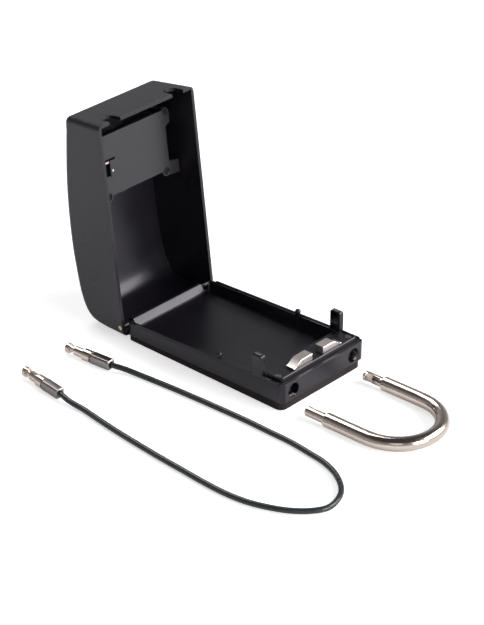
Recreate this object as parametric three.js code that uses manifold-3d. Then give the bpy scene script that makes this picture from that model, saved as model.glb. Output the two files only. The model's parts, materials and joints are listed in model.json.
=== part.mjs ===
import * as THREE from 'three';
import { mergeVertices } from 'three/addons/utils/BufferGeometryUtils.js';
import Module from 'manifold-3d';

// Portable key lock box, open on its back, with its shackle and cable beside it.
// Millimetres, +Z up. X runs from the hinge to the shackle end, Y across the box.
// The origin is the middle of the pad's underside.

const wasm = await Module();
wasm.setup();

// Driving dimensions of the base, whose walls and pad are wedges that rise toward the shackle end
const BASE_BACK = -67.8;
const BASE_FRONT = 66.3;
const BASE_HALF_WIDTH = 40;
const BASE_CORNER = { back: 2, front: 4 };
const BASE_EDGE = 1;
const PAD_HEIGHT = { back: 4.47, front: 6.4 };
const WALL_TOP = { back: 13.9, front: 19.6 };
const BASE_WALL = 2.6;
const FLOOR_THICKNESS = 2.6;
const LIP = { back: -61.8, inset: 0.35, width: 1.5, height: 1.1, root: 2, edge: 0.35 };
const PAD = { front: 65.2, halfWidth: BASE_HALF_WIDTH - 1.2, corner: 5, edge: 0.6 };
const SEAT_GAP = 0.02;
const SLIDE_GAP = 0.3;
const DRILL_GAP = 0.1;
// Reach of a cutter, or of a joined part, past the face that it has to meet
const PAST = 1;

// Housing for the shackle bolts, cast into the tray
const HOUSING_BACK = 43;
const HOUSING_TOP = 18;
const ROOM_CORNER = 1.5;
const LEG_Y = 28.9;
const LEG_Z = 12.7;
const MOUTH = { radius: 4.95, back: 60.8 };
const TIP_BORE = { radius: 3.5, back: 43.8 };
const BORE_GAP = 0.2;

// Cover plate over the housing
const COVER = {
  back: 46.4, step: 49.4, front: 62.8, half: BASE_HALF_WIDTH - 3, corner: 3, flange: 1.1,
  top: 21.4, rim: 22.3, rimWidth: 1.3, edge: 0.5, gap: 0.25,
};
const COVER_SCREW = {
  x: 57.7, y: COVER.half - 3.2, head: 2.1, sunk: 1.2, shank: 1.2, bottom: 15.4, gap: 0.05,
  slot: 1.3, slotWidth: 0.5, slotDepth: 0.6,
};

// Shackle bolts: a block on top, a neck through the cover and a tongue in the bore
const BLOCK = {
  back: 54.1, front: 61.2, inner: 5.2, crown: 15.8, ramp: 21.4, outer: 22.8, height: 5, ledge: 1.3, edge: 0.3,
  gap: 0.2,
};
const NECK = { back: 54.8, front: 59.2, inner: 9.6, outer: 17.4 };
const CARRIAGE = { back: 48, front: 59.4, inner: 8, outer: 23.5, bottom: 10.9, top: 14.6, room: 0.5 };
const TONGUE = { front: 51.8, tip: 27.4 };
const BOLT_TRAVEL = 3.2;
const DIVIDER = 1.2;
const BOLT_SPRING = { x: 55.4, coil: 1.8, wire: 0.3, turns: 5 };
const SPRING_GAP = 0.15;

// Posts that the lid's latches catch, and pegs on the walls
const POST = {
  back: 40.3, front: 48.9, inner: BASE_HALF_WIDTH - 4.5, outer: BASE_HALF_WIDTH - 0.25, foot: 13, top: 34.3,
  crown: 0.6, round: 2.6,
};
const POST_CHEEK = 1.2;
const WINDOW = { top: 33, bottom: 28.2, sill: 24.1, depth: 2.7 };
const POCKET = { top: 23.4, bottom: 19.4, depth: 1.6 };
const PEG = { x: 11.5, y: BASE_HALF_WIDTH - 2.2, radius: 2, neck: 1.5, foot: 8, top: 22.1 };

// Hinge: the tray's barrel and the pin that the lid turns on
const HINGE_X = -71.5;
const HINGE_Z = 9.4;
const OPEN_ANGLE = 97.4;
const BARREL = { radius: 3, half: 32.4, from: 60, to: 295, web: 6.7 };
const STRIP_FOOT = [-66.6, 8.1];
const LID_HALF_WIDTH = BASE_HALF_WIDTH + 3.6;
const PIN = { radius: 1.5, gap: 0.15, half: LID_HALF_WIDTH - 0.4, sill: 8.5 };

// Lid, written as it stands when closed
const RIM_Z = 6.85;
const LID_DRAFT = 0.0765;
const LID_WALL = 2.3;
const LID_EDGE = 4;
const LID_END = { x: 69.3, lean: 0.3, top: 41.5, corner: LID_EDGE + 0.2 };
const LID_BACK = { x: -77.65, z: 4 };
// The lid's forms run on below its rim, where they are cut off
const FORM_BOTTOM = -LID_EDGE - 1;
// Side view of the lid's front, from the shackle end round to the heel at the hinge
const LID_FRONT = [
  [59.75, 42.6], [42.65, 45.8], [25.45, 48.5], [8.45, 50.3], [-12.95, 51.3], [-29.95, 50.9], [-47.15, 49.4],
  [-56.45, 47.9], [-64.75, 45.4], [-70.95, 41.0], [-74.35, 34.3], [-76.15, 22.9],
];
const NOTCH_RADIUS = MOUTH.radius + 0.15;
const RELIEF = { inner: POST.inner - 1.5, outer: POST.outer + 0.4, gap: 0.9 };
// How far bosses and lugs run into the lid's wall
const ROOTED = 0.2;

// Lock in the lid
const PLATE_Z = 22.7;
const PLATE_HALF = 23.3;
const PLATE = {
  back: 12.2, front: 53.7, thickness: 2,
  recess: PLATE_HALF + 6.7, recessBack: 17.8, recessFront: 42, shoulder: 2.2,
};
const PLATE_TAB = { back: 7.4, front: 16.6, y: LID_HALF_WIDTH - 4.8 };
const PLATE_SCREWS = [[11.9, PLATE_HALF + 3.5], [52.4, PLATE_HALF + 7.9]];
const PLATE_LOBE = { back: 3.6, front: 3, offset: 1 };
const SCREW = {
  head: 2.6, sunk: 1.6, below: 0.6, shank: 1.5, length: 7, spare: 0.3, socket: 1.25, socketDepth: 0.6,
};
const BOSS_RADIUS = 2.6;
const LEVER_SLOT = { back: 25.8, front: 37.4, edge: PLATE_HALF + 0.1, arm: 18 };
const LEVER = {
  width: 3, thickness: 1.1, front: 36.2, back: 22.5, tip: 1.4, reach: PLATE_HALF + 3.6, proud: 0.3,
};
const PLATE_PAD = { back: 25.4, front: 36.2, inner: 16.4, height: 0.8 };
const SET_PIN = { x: 29.1, y: -21.3, radius: 0.95, hole: 1.15, flange: 0.7, flangeHeight: 0.9 };

const WHEEL = {
  x: 32.9, z: 37.4, radius: 11, width: 6.2, pitch: 8, room: 9.6,
  count: 4, facets: 10, flat: 0.72, groove: 0.7, edge: 0.4,
};
const WHEEL_WINDOW = { half: 6.6, side: 0.4 };
const HUB = { radius: 6.4, thickness: 1.2, gap: 0.15, gate: 3.6, gateHalf: 1 };
const SHAFT = { radius: 1.5, head: 2.5, headLength: 1, reach: 1.2, gap: 0.2 };
const FRAME = {
  back: 20.2, front: 43.5, inner: WHEEL.count * WHEEL.pitch / 2 + 0.9, wall: 1.2, top: 41.8,
  webBottom: 33.5, webTop: 37.8, foot: 0.9, roomTop: 38.8,
};
const LEAF = { x: 44.5, thickness: 0.5, bottom: 26, root: 29, top: 41, slit: 1.2 };

const LATCH = {
  bottom: 30.2, top: 32.3, tip: POST.inner + 2.1, arm: PLATE_HALF + 0.5, armInner: PLATE_HALF - 2.4,
  back: 8.8, elbow: 17.8, inner: 3.6,
};
const LATCH_FINGER_GAP = 0.5;
const LATCH_TRAVEL = 2.4;
const SLIDER_TRAVEL = 4;
const CAM = { x: 15.2, y: 7.6, radius: 0.95, slot: 1.2, ease: 0.3, bottom: 29.6 };
const KNOB = { back: 9.8, front: 20.8, half: 8, corner: 2.5, edge: 0.8, height: 3.4, base: 0.4 };
const GRIP = { count: 3, first: 2.6, pitch: 2.6, width: 0.8, depth: 0.7, inset: 1.6 };
const STEM = { back: 13, front: 17.6, half: 3.4 };
const SLIDER_ARM = { bottom: 33, thickness: 2.2, reach: 9.6 };
const SLIDER_SPRING = { z: 40, coil: 1.8, wire: 0.3, turns: 5 };
const SPRING_LUG = { back: 3.6, front: 5, half: 3, bottom: 37.4 };
const BEZEL = { back: -2, front: 48, half: 23, corner: 5, thickness: 1.2, gap: 0.06 };
const SKIN_BAND = [40, 70];

// Shackle, lying on the same surface as the box
const SHACKLE = {
  radius: MOUTH.radius - BORE_GAP, half: LEG_Y, leg: 47.5, tip: 16.2, tipRadius: TIP_BORE.radius - BORE_GAP,
  x: 127, y: -2.2, yaw: 1.2, sides: 20, steps: 28,
};
const TIP_NOTCH = { start: 3, length: 5, depth: 2.3 };
const TIP_CHAMFER = 0.8;
const SHOULDER = { round: 0.4, slope: 1.2 };

// Cable ends: a stud that enters the bore, its collar and the ferrule crimped on the cable
const STUD_SECTIONS = [
  { radius: 4, length: 6 }, { radius: TIP_BORE.radius - 2 * BORE_GAP, length: 7.6 },
  { radius: 1.9, length: 4.4 }, { radius: TIP_BORE.radius - BORE_GAP, length: 3.6 },
];
const STUD_NOSE = { length: 1, inset: 1.3 };
const FERRULE = { across: 6.8, length: 16, edge: 0.7, corner: 1.6, mouth: 2.5, mouthGap: 0.25 };
const FITTING_Z = 4;
const CABLE_RADIUS = 1.85;
const CABLE_Z = CABLE_RADIUS + 0.1;
const CABLE_GAP = 0.3;
// Ends of the two fittings: where the ferrule lets the cable out, and its heading in degrees
const FITTINGS = {
  upper: { x: -49, y: -74.2, heading: 5 },
  lower: { x: -47.5, y: -121.1, heading: -7 },
};
// The cable's route between the ferrules, as it lies
const CABLE_ROUTE = [
  [-40, -70.9, 3.0], [-25.5, -68, CABLE_Z], [4, -65.5, CABLE_Z], [31.5, -64, CABLE_Z],
  [57.5, -63, CABLE_Z], [76.5, -63, CABLE_Z], [94, -63, CABLE_Z], [109.5, -64.5, CABLE_Z],
  [124, -66.5, CABLE_Z], [138, -72, CABLE_Z], [150.5, -82, CABLE_Z], [156, -92.5, CABLE_Z],
  [157, -102, CABLE_Z], [152, -111, CABLE_Z], [143, -119, CABLE_Z], [131.5, -125, CABLE_Z],
  [118, -129.5, CABLE_Z], [102.5, -131.5, CABLE_Z], [85, -131.5, CABLE_Z], [66.5, -130.5, CABLE_Z],
  [47.5, -129.5, CABLE_Z], [27, -128, CABLE_Z], [5, -126, CABLE_Z], [-15, -123.5, CABLE_Z],
  [-26.5, -122, CABLE_Z], [-38, -122.4, 3.0],
];

// Colours, as the photo shows them
const BLACK_COAT = { color: 0x1b1a1c, roughness: 0.45, metalness: 0.3 };
const GREY_COAT = { color: 0x3a383b, roughness: 0.5, metalness: 0.3 };
const RUBBER = { color: 0x242022, roughness: 0.9, metalness: 0 };
const NICKEL = { color: 0xcfc8c2, roughness: 0.25, metalness: 1 };
const STEEL = { color: 0xa9a29b, roughness: 0.4, metalness: 1 };
const BLACK_STEEL = { color: 0x222224, roughness: 0.5, metalness: 0.8 };
const PLASTIC = { color: 0x161618, roughness: 0.6, metalness: 0 };
const CABLE_COAT = { color: 0x3f4244, roughness: 0.45, metalness: 0 };

const HALF_TURN = Math.PI;
const SIDES = { near: -1, far: 1 };
const COIL_STEPS = 8;
// Beyond every face of the box, for cutters that run right through
const FAR = 90;

// Solids

function toSolid(geometry) {
  geometry.deleteAttribute('normal');
  geometry.deleteAttribute('uv');
  const merged = mergeVertices(geometry, 1e-4);
  const corners = Array.from(merged.index.array);
  const triVerts = [];
  for (let i = 0; i < corners.length; i += 3) {
    const triangle = corners.slice(i, i + 3);
    if (new Set(triangle).size === 3) triVerts.push(...triangle);
  }
  const mesh = new wasm.Mesh({
    numProp: 3,
    vertProperties: new Float32Array(merged.attributes.position.array),
    triVerts: new Uint32Array(triVerts),
  });
  return new wasm.Manifold(mesh);
}

function toGeometry(solid) {
  const mesh = solid.getMesh();
  const geometry = new THREE.BufferGeometry();
  geometry.setAttribute('position', new THREE.BufferAttribute(mesh.vertProperties, 3));
  geometry.setIndex(new THREE.BufferAttribute(mesh.triVerts, 1));
  geometry.computeVertexNormals();
  return geometry;
}

const join = (first, ...others) => others.reduce((sum, next) => sum.add(next), first);
const cut = (first, ...others) => others.reduce((sum, next) => sum.subtract(next), first);
const both = (list) => Object.values(SIDES).flatMap((side) => list(side));

function box(x0, x1, y0, y1, z0, z1) {
  const geometry = new THREE.BoxGeometry(Math.abs(x1 - x0), Math.abs(y1 - y0), Math.abs(z1 - z0));
  geometry.translate((x0 + x1) / 2, (y0 + y1) / 2, (z0 + z1) / 2);
  return toSolid(geometry);
}

function extrude(points, length, bevel = 0, steps = 2) {
  const shape = new THREE.Shape(points.map(([a, b]) => new THREE.Vector2(a, b)));
  const rounds = {
    bevelEnabled: bevel > 0, bevelSize: bevel, bevelThickness: bevel, bevelOffset: -bevel,
    bevelSegments: steps,
  };
  const geometry = new THREE.ExtrudeGeometry(shape, { depth: length - 2 * bevel, ...rounds });
  geometry.translate(0, 0, bevel);
  return geometry;
}

// Outline in X and Y, raised along Z
function prismZ(points, z0, z1, bevel, steps) {
  const geometry = extrude(points, z1 - z0, bevel, steps);
  geometry.translate(0, 0, z0);
  return toSolid(geometry);
}

// Outline in X and Z, drawn along Y
function prismY(points, y0, y1, bevel, steps) {
  const geometry = extrude(points, y1 - y0, bevel, steps);
  geometry.rotateX(HALF_TURN / 2);
  geometry.translate(0, y1, 0);
  return toSolid(geometry);
}

// Outline in Y and Z, drawn along X
function prismX(points, x0, x1, bevel, steps) {
  const geometry = extrude(points, x1 - x0, bevel, steps);
  geometry.applyMatrix4(new THREE.Matrix4().set(0, 0, 1, 0, 1, 0, 0, 0, 0, 1, 0, 0, 0, 0, 0, 1));
  geometry.translate(x0, 0, 0);
  return toSolid(geometry);
}

function rod(axis, radius, from, to, a, b, sides = 20) {
  const geometry = new THREE.CylinderGeometry(radius, radius, to - from, sides);
  const middle = (from + to) / 2;
  if (axis === 'x') {
    geometry.rotateZ(HALF_TURN / 2);
    geometry.translate(middle, a, b);
  } else if (axis === 'y') {
    geometry.translate(a, middle, b);
  } else {
    geometry.rotateX(HALF_TURN / 2);
    geometry.translate(a, b, middle);
  }
  return toSolid(geometry);
}

// A rectangle whose corners at its back end can have a radius of their own
function roundedOutline(x0, x1, y0, y1, radius, steps = 5, backRadius = radius) {
  const corners = [[x1 - radius, y1 - radius, radius], [x0 + backRadius, y1 - backRadius, backRadius],
    [x0 + backRadius, y0 + backRadius, backRadius], [x1 - radius, y0 + radius, radius]];
  return corners.flatMap(([x, y, size], quarter) => arc(x, y, size, quarter * 90, (quarter + 1) * 90, steps));
}

function arc(cx, cy, radius, start, end, steps) {
  return Array.from({ length: steps + 1 }, (_, i) => {
    const angle = THREE.MathUtils.degToRad(start + (end - start) * i / steps);
    return [cx + radius * Math.cos(angle), cy + radius * Math.sin(angle)];
  });
}

// A point mirrored to the near or the far side keeps its outline's turning sense
function sided(points, side) {
  const placed = points.map(([a, b]) => [a * side, b]);
  return side > 0 ? placed : placed.reverse();
}

function sidedSlab(points, side, z0, z1) {
  const placed = points.map(([x, y]) => [x, y * side]);
  return prismZ(side > 0 ? placed : placed.reverse(), z0, z1);
}

function sideBox(x0, x1, side, y0, y1, z0, z1) {
  return box(x0, x1, side * y0, side * y1, z0, z1);
}

function tube(path, radius, sides, steps) {
  const section = arc(0, 0, radius, 0, 360 - 360 / sides, sides - 1).map(([a, b]) => new THREE.Vector2(a, b));
  return toSolid(new THREE.ExtrudeGeometry(new THREE.Shape(section), { steps, extrudePath: path }));
}

function coilSpring(start, end, { coil, wire, turns }) {
  const axis = new THREE.Vector3().subVectors(end, start);
  const length = axis.length();
  const turn = new THREE.Quaternion().setFromUnitVectors(new THREE.Vector3(0, 0, 1), axis.normalize());
  const steps = turns * COIL_STEPS;
  const points = Array.from({ length: steps + 1 }, (_, i) => {
    const angle = 2 * HALF_TURN * i / COIL_STEPS;
    const rise = wire + (length - 2 * wire) * i / steps;
    const point = new THREE.Vector3(coil * Math.cos(angle), coil * Math.sin(angle), rise);
    return point.applyQuaternion(turn).add(start);
  });
  const path = new THREE.CatmullRomCurve3(points);
  return tube(path, wire, 5, steps);
}

// Heights and widths of the base

const heightAt = (span, x) => THREE.MathUtils.mapLinear(x, BASE_BACK, BASE_FRONT, span.back, span.front);
const wallTop = (x) => heightAt(WALL_TOP, x);
const padTop = (x) => heightAt(PAD_HEIGHT, x);
const floorTop = (x) => padTop(x) + FLOOR_THICKNESS;
const innerHalf = BASE_HALF_WIDTH - BASE_WALL;

function backPad() {
  const { front, halfWidth, corner, edge } = PAD;
  const outline = roundedOutline(BASE_BACK, front, -halfWidth, halfWidth, corner, 4, BASE_CORNER.back);
  const top = (x) => padTop(x) - SEAT_GAP;
  const wedge = prismY([[-FAR, -PAST], [FAR, -PAST], [FAR, top(FAR)], [-FAR, top(-FAR)]], -FAR, FAR);
  return prismZ(outline, 0, PAD_HEIGHT.front + 2 * edge, edge, 1).intersect(wedge);
}

function trayBlank() {
  const half = BASE_HALF_WIDTH;
  const outline = roundedOutline(BASE_BACK, BASE_FRONT, -half, half, BASE_CORNER.front, 5, BASE_CORNER.back);
  const side = [
    [BASE_BACK, padTop(BASE_BACK)], [BASE_FRONT, padTop(BASE_FRONT)],
    [BASE_FRONT, wallTop(BASE_FRONT)], [BASE_BACK, wallTop(BASE_BACK)],
  ];
  return prismZ(outline, 0, FAR).intersect(prismY(side, -half, half, BASE_EDGE, 2));
}

// The barrel's front is a flat strip that slopes from its crest down to the tray's back wall
const [stripCrest, ...barrelRound] = arc(HINGE_X, HINGE_Z, BARREL.radius, BARREL.from, BARREL.to, 12);

function hingeBarrel() {
  const [footX] = STRIP_FOOT;
  return prismY([stripCrest, ...barrelRound, [footX, BARREL.web], STRIP_FOOT], -BARREL.half, BARREL.half);
}

// The back wall gives way to the strip, and beside the barrel to the bare pin
function aboveBarrel() {
  const [footX] = STRIP_FOOT;
  const [crestX] = stripCrest;
  const strip = prismY([STRIP_FOOT, stripCrest, [crestX, FAR], [footX, FAR]], -BARREL.half, BARREL.half);
  const from = BARREL.half - SEAT_GAP / 2;
  return join(strip, ...both((side) => [sideBox(crestX, footX, side, from, innerHalf, PIN.sill, FAR)]));
}

// Room for the keys, with the floor's slope
function trayRoom() {
  const [back] = STRIP_FOOT;
  const front = HOUSING_BACK;
  const profile = [[back, floorTop(back)], [front, floorTop(front)], [front, FAR], [back, FAR]];
  const outline = roundedOutline(back, front + 2 * ROOM_CORNER, -innerHalf, innerHalf, ROOM_CORNER, 3);
  return prismY(profile, -innerHalf, innerHalf).intersect(prismZ(outline, 0, FAR));
}

function coverSeat() {
  const { front, corner, gap } = COVER;
  const outline = roundedOutline(0, front + gap, -innerHalf, innerHalf, corner + gap, 4);
  return prismZ(outline, HOUSING_TOP, FAR).intersect(box(HOUSING_BACK - SEAT_GAP, FAR, -FAR, FAR, 0, FAR));
}

function boltChannel(side) {
  const back = CARRIAGE.back - SLIDE_GAP;
  const bottom = CARRIAGE.bottom - SLIDE_GAP;
  const top = CARRIAGE.top + SLIDE_GAP;
  const outer = CARRIAGE.outer + CARRIAGE.room;
  const run = sideBox(back, CARRIAGE.front + SLIDE_GAP, side, DIVIDER, outer, bottom, FAR);
  return run.add(sideBox(back, TONGUE.front + SLIDE_GAP, side, DIVIDER, LEG_Y, bottom, top));
}

function legBore(side) {
  const mouth = rod('x', MOUTH.radius, MOUTH.back, FAR, side * LEG_Y, LEG_Z, 28);
  const bore = rod('x', TIP_BORE.radius, TIP_BORE.back, BASE_FRONT, side * LEG_Y, LEG_Z, 20);
  return mouth.add(bore);
}

function post(side) {
  const { back, front, inner, outer, foot, top, crown, round } = POST;
  const radius = (outer - inner) / 2;
  const outline = [
    [inner, foot], [outer, foot], [outer, top - radius - crown],
    ...arc(inner + radius, top - radius, radius, 25, 180, 7),
  ];
  const along = [
    [back, foot], [front, foot],
    ...arc(front - round, top - round, round, 0, 90, 4),
    ...arc(back + round, top - round, round, 90, 180, 4),
  ];
  const bar = prismX(sided(outline, side), back, front, crown, 1);
  const body = bar.intersect(prismY(along, -FAR, FAR));
  const from = back + POST_CHEEK;
  const to = front - POST_CHEEK;
  const face = inner - PAST;
  const depth = inner + WINDOW.depth;
  const window = [[face, WINDOW.sill], [depth, WINDOW.bottom], [depth, WINDOW.top], [face, WINDOW.top]];
  const pocket = sideBox(from, to, side, face, inner + POCKET.depth, POCKET.bottom, POCKET.top);
  return cut(body, prismX(sided(window, side), from, to), pocket);
}

function peg(side) {
  const cap = new THREE.SphereGeometry(PEG.radius, 12, 8);
  cap.translate(PEG.x, side * PEG.y, PEG.top - PEG.radius);
  const neck = rod('z', PEG.neck, PEG.foot, PEG.top - PEG.radius, PEG.x, side * PEG.y, 12);
  return toSolid(cap).add(neck);
}

function wallLip(side) {
  const { back, inset, width, height, root, edge } = LIP;
  const to = COVER.front;
  const outer = BASE_HALF_WIDTH - inset;
  const strip = [
    [back, wallTop(back) - root], [to, wallTop(to) - root],
    [to, wallTop(to) + height], [back, wallTop(back) + height],
  ];
  return prismY(strip, ...sideSpan(side, outer - width, outer), edge, 1);
}

function baseTray() {
  const blank = cut(trayBlank(), trayRoom(), aboveBarrel(), coverSeat());
  const shaped = join(blank, hingeBarrel(), ...both((side) => [wallLip(side), post(side), peg(side)]));
  const pinHole = rod('y', PIN.radius + PIN.gap, -FAR, FAR, HINGE_X, HINGE_Z, 16);
  const { x, y, shank, bottom } = COVER_SCREW;
  const screwHole = (side) => rod('z', shank + DRILL_GAP, bottom - SLIDE_GAP, FAR, x, side * y, 12);
  return cut(shaped, pinHole, ...both((side) => [screwHole(side), boltChannel(side), legBore(side)]));
}

function coverPlate() {
  const bottom = HOUSING_TOP + SEAT_GAP;
  const { back, step, front, half, corner, flange, rim, rimWidth, edge } = COVER;
  const narrow = POST.inner - SLIDE_GAP;
  const foot = prismZ(roundedOutline(back, front, -narrow, narrow, corner, 4), bottom, bottom + flange);
  const raised = prismZ(roundedOutline(step, front, -half, half, corner, 4), bottom, rim, edge, 1);
  const dishHalf = half - rimWidth;
  const dishOutline = roundedOutline(0, front - rimWidth, -dishHalf, dishHalf, corner - rimWidth, 4);
  const dish = prismZ(dishOutline, COVER.top, rim + PAST);
  return cut(foot.add(raised), dish, ...both((side) => [neckSlot(side), ...coverScrewHoles(side)]));
}

function neckSlot(side) {
  const inner = NECK.inner - BOLT_TRAVEL - SLIDE_GAP;
  return sideBox(NECK.back - SLIDE_GAP, NECK.front + SLIDE_GAP, side, inner, NECK.outer + SLIDE_GAP, 0, FAR);
}

function coverScrewHoles(side) {
  const { x, y, head, shank, sunk } = COVER_SCREW;
  const hole = rod('z', shank + DRILL_GAP, 0, FAR, x, side * y, 12);
  return [hole, rod('z', head + DRILL_GAP, COVER.top - sunk, FAR, x, side * y, 16)];
}

function coverScrew(side) {
  const { x, y, head, sunk, shank, bottom, gap, slot, slotWidth, slotDepth } = COVER_SCREW;
  const middle = side * y;
  const half = slotWidth / 2;
  const seat = COVER.top - sunk + gap;
  const floor = COVER.top - slotDepth;
  const top = rod('z', head, seat, COVER.top - gap, x, middle, 16);
  const slotAlong = box(x - slot, x + slot, middle - half, middle + half, floor, FAR);
  const slotAcross = box(x - half, x + half, middle - slot, middle + slot, floor, FAR);
  return cut(top.add(rod('z', shank, bottom, seat + gap, x, middle, 12)), slotAlong, slotAcross);
}

function shackleBolt(side) {
  const foot = COVER.top + BLOCK.gap;
  const crown = foot + BLOCK.height;
  const ledge = foot + BLOCK.ledge;
  const { back, front, inner, outer, bottom, top } = CARRIAGE;
  const outline = [
    [BLOCK.inner, foot], [BLOCK.outer, foot], [BLOCK.outer, ledge], [BLOCK.ramp, ledge],
    [BLOCK.crown, crown], [BLOCK.inner, crown],
  ];
  const block = prismX(sided(outline, side), BLOCK.back, BLOCK.front, BLOCK.edge, 1);
  const neck = sideBox(NECK.back, NECK.front, side, NECK.inner, NECK.outer, bottom, ledge);
  const carriage = sideBox(back, front, side, inner, outer, bottom, top);
  const tongue = sideBox(back, TONGUE.front, side, inner, TONGUE.tip, bottom, top);
  return join(block, neck, carriage, tongue);
}

function boltSpring(side) {
  const height = (CARRIAGE.bottom + CARRIAGE.top) / 2;
  const at = (y) => new THREE.Vector3(BOLT_SPRING.x, side * y, height);
  return coilSpring(at(DIVIDER + SPRING_GAP), at(CARRIAGE.inner - SPRING_GAP), BOLT_SPRING);
}

function hingePin() {
  return rod('y', PIN.radius, -PIN.half, PIN.half, HINGE_X, HINGE_Z, 16);
}

// Lid, closed position

// Fall of the front toward the shackle end
const [[firstX, firstZ]] = LID_FRONT;
const frontSlope = (firstZ - LID_END.top) / (LID_END.x - LID_END.lean - firstX);

// The round between the end wall and the front, with the same middle for every wall
function endRound(wall) {
  const { x, lean, top, corner } = LID_END;
  const lower = THREE.MathUtils.radToDeg(Math.atan(lean / (top - RIM_Z)));
  const upper = 90 - THREE.MathUtils.radToDeg(Math.atan(frontSlope));
  const middle = THREE.MathUtils.degToRad((lower + upper) / 2);
  const reach = corner / Math.cos(THREE.MathUtils.degToRad((upper - lower) / 2));
  const cx = x - lean - reach * Math.cos(middle);
  const cz = top - reach * Math.sin(middle);
  return arc(cx, cz, corner - wall, lower, upper, 5);
}

// The lid's side view, moved inward by a wall
function lidOutline(wall) {
  const front = new THREE.SplineCurve(LID_FRONT.map(([x, z]) => new THREE.Vector2(x, z)));
  const steps = 26;
  const moved = Array.from({ length: steps + 1 }, (_, i) => {
    const point = front.getPoint(i / steps);
    const tangent = front.getTangent(i / steps);
    return [point.x - tangent.y * wall, point.y + tangent.x * wall];
  });
  const backX = LID_BACK.x + wall;
  return [
    [LID_END.x - wall, FORM_BOTTOM], ...endRound(wall), ...moved, [backX, LID_BACK.z], [backX, FORM_BOTTOM],
  ];
}

function draft(geometry, half) {
  const position = geometry.attributes.position;
  for (let i = 0; i < position.count; i += 1) {
    position.setY(i, position.getY(i) * (1 - LID_DRAFT * (position.getZ(i) - RIM_Z) / half));
  }
}

function lidForm(wall, sideWall, edge, steps) {
  const half = LID_HALF_WIDTH - sideWall;
  const geometry = extrude(lidOutline(wall), 2 * half, edge, steps);
  geometry.rotateX(HALF_TURN / 2);
  geometry.translate(0, half, 0);
  draft(geometry, half);
  return toSolid(geometry);
}

const sideSpan = (side, from, to) => (side > 0 ? [from, to] : [-to, -from]);

function screwBosses(inside) {
  const bottom = PLATE_Z + PLATE.thickness + SEAT_GAP;
  return PLATE_SCREWS.flatMap(([x, y]) => both((side) => {
    const boss = rod('z', BOSS_RADIUS, bottom, FAR, x, side * y, 16);
    const hole = rod('z', SCREW.shank + DRILL_GAP, 0, bottom + SCREW.length, x, side * y, 12);
    return [boss.intersect(inside).subtract(hole)];
  }));
}

// Wall inside the lid that the slider's spring pushes against
function springLug(inside) {
  const { back, front, half, bottom } = SPRING_LUG;
  return box(back, front, -half, half, bottom, FAR).intersect(inside);
}

function endNotch(side) {
  const from = LID_END.x - 2 * LID_WALL;
  const round = rod('x', NOTCH_RADIUS, from, FAR, side * LEG_Y, LEG_Z, 28);
  return round.add(sideBox(from, FAR, side, LEG_Y - NOTCH_RADIUS, LEG_Y + NOTCH_RADIUS, 0, LEG_Z));
}

function sliderSlot() {
  const half = STEM.half + SLIDE_GAP;
  return box(STEM.back - SLIDER_TRAVEL - SLIDE_GAP, STEM.front + SLIDE_GAP, -half, half, ...SKIN_BAND);
}

// Room for a post as the lid closes over it
function postRelief(side) {
  const { inner, outer, gap } = RELIEF;
  return sideBox(POST.back - gap, POST.front + gap, side, inner, outer, 0, POST.top + gap);
}

function lidHollow(shortfall) {
  const wall = LID_WALL - shortfall;
  return lidForm(wall, wall);
}

function lidShell() {
  const outside = lidForm(0, 0, LID_EDGE, 4);
  const below = box(-FAR, FAR, -FAR, FAR, -FAR, RIM_Z);
  const { x, room } = WHEEL;
  const wheelRoom = box(x - room, x + room, -FRAME.inner, FRAME.inner, FRAME.roomTop, FAR);
  const pinHole = rod('y', PIN.radius + PIN.gap, -FAR, FAR, HINGE_X, HINGE_Z, 16);
  const cuts = both((side) => [postRelief(side), endNotch(side)]);
  const shell = cut(outside, lidHollow(0), below, ...cuts, pinHole);
  const rooted = lidHollow(ROOTED);
  return cut(join(shell, springLug(rooted), ...screwBosses(rooted)), wheelRoom, sliderSlot());
}

function plateOutline(side) {
  const [[lowX, lowY], [highX, highY]] = PLATE_SCREWS;
  const { back, front, recess, recessBack, recessFront, shoulder } = PLATE;
  const lobe = PLATE_LOBE.front;
  return sided([
    [0, back], [PLATE_HALF, back], ...arc(lowY, lowX, PLATE_LOBE.back, 180, 290, 6),
    [PLATE_TAB.y, PLATE_TAB.back], [PLATE_TAB.y, PLATE_TAB.front],
    [recess, recessBack], [recess, recessFront],
    [highY + lobe, recessFront + shoulder], ...arc(highY, highX - PLATE_LOBE.offset, lobe, 0, 60, 3),
    [highY, front], [0, front],
  ], side);
}

function lockPlate() {
  const top = PLATE_Z + PLATE.thickness;
  const slab = (points) => prismZ(points.map(([y, x]) => [x, y]).reverse(), PLATE_Z, top);
  const halves = both((side) => [slab(plateOutline(side))]);
  const { back, front, inner, height } = PLATE_PAD;
  const pad = box(back, front, -LEVER_SLOT.edge, -inner, PLATE_Z - height, top);
  const slot = box(LEVER_SLOT.back, LEVER_SLOT.front, -FAR, -LEVER_SLOT.edge, 0, FAR);
  const slotArm = box(front, LEVER_SLOT.front, -LEVER_SLOT.edge - PAST, -LEVER_SLOT.arm, 0, FAR);
  const pinHole = rod('z', SET_PIN.hole, 0, FAR, SET_PIN.x, SET_PIN.y, 12);
  const screwHoles = PLATE_SCREWS.flatMap(([x, y]) => both((side) => [
    rod('z', SCREW.shank + DRILL_GAP, 0, FAR, x, side * y, 12),
    rod('z', SCREW.head + DRILL_GAP, 0, PLATE_Z + SCREW.sunk, x, side * y, 16),
  ]));
  return cut(join(...halves, pad), slot, slotArm, pinHole, ...screwHoles);
}

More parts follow.
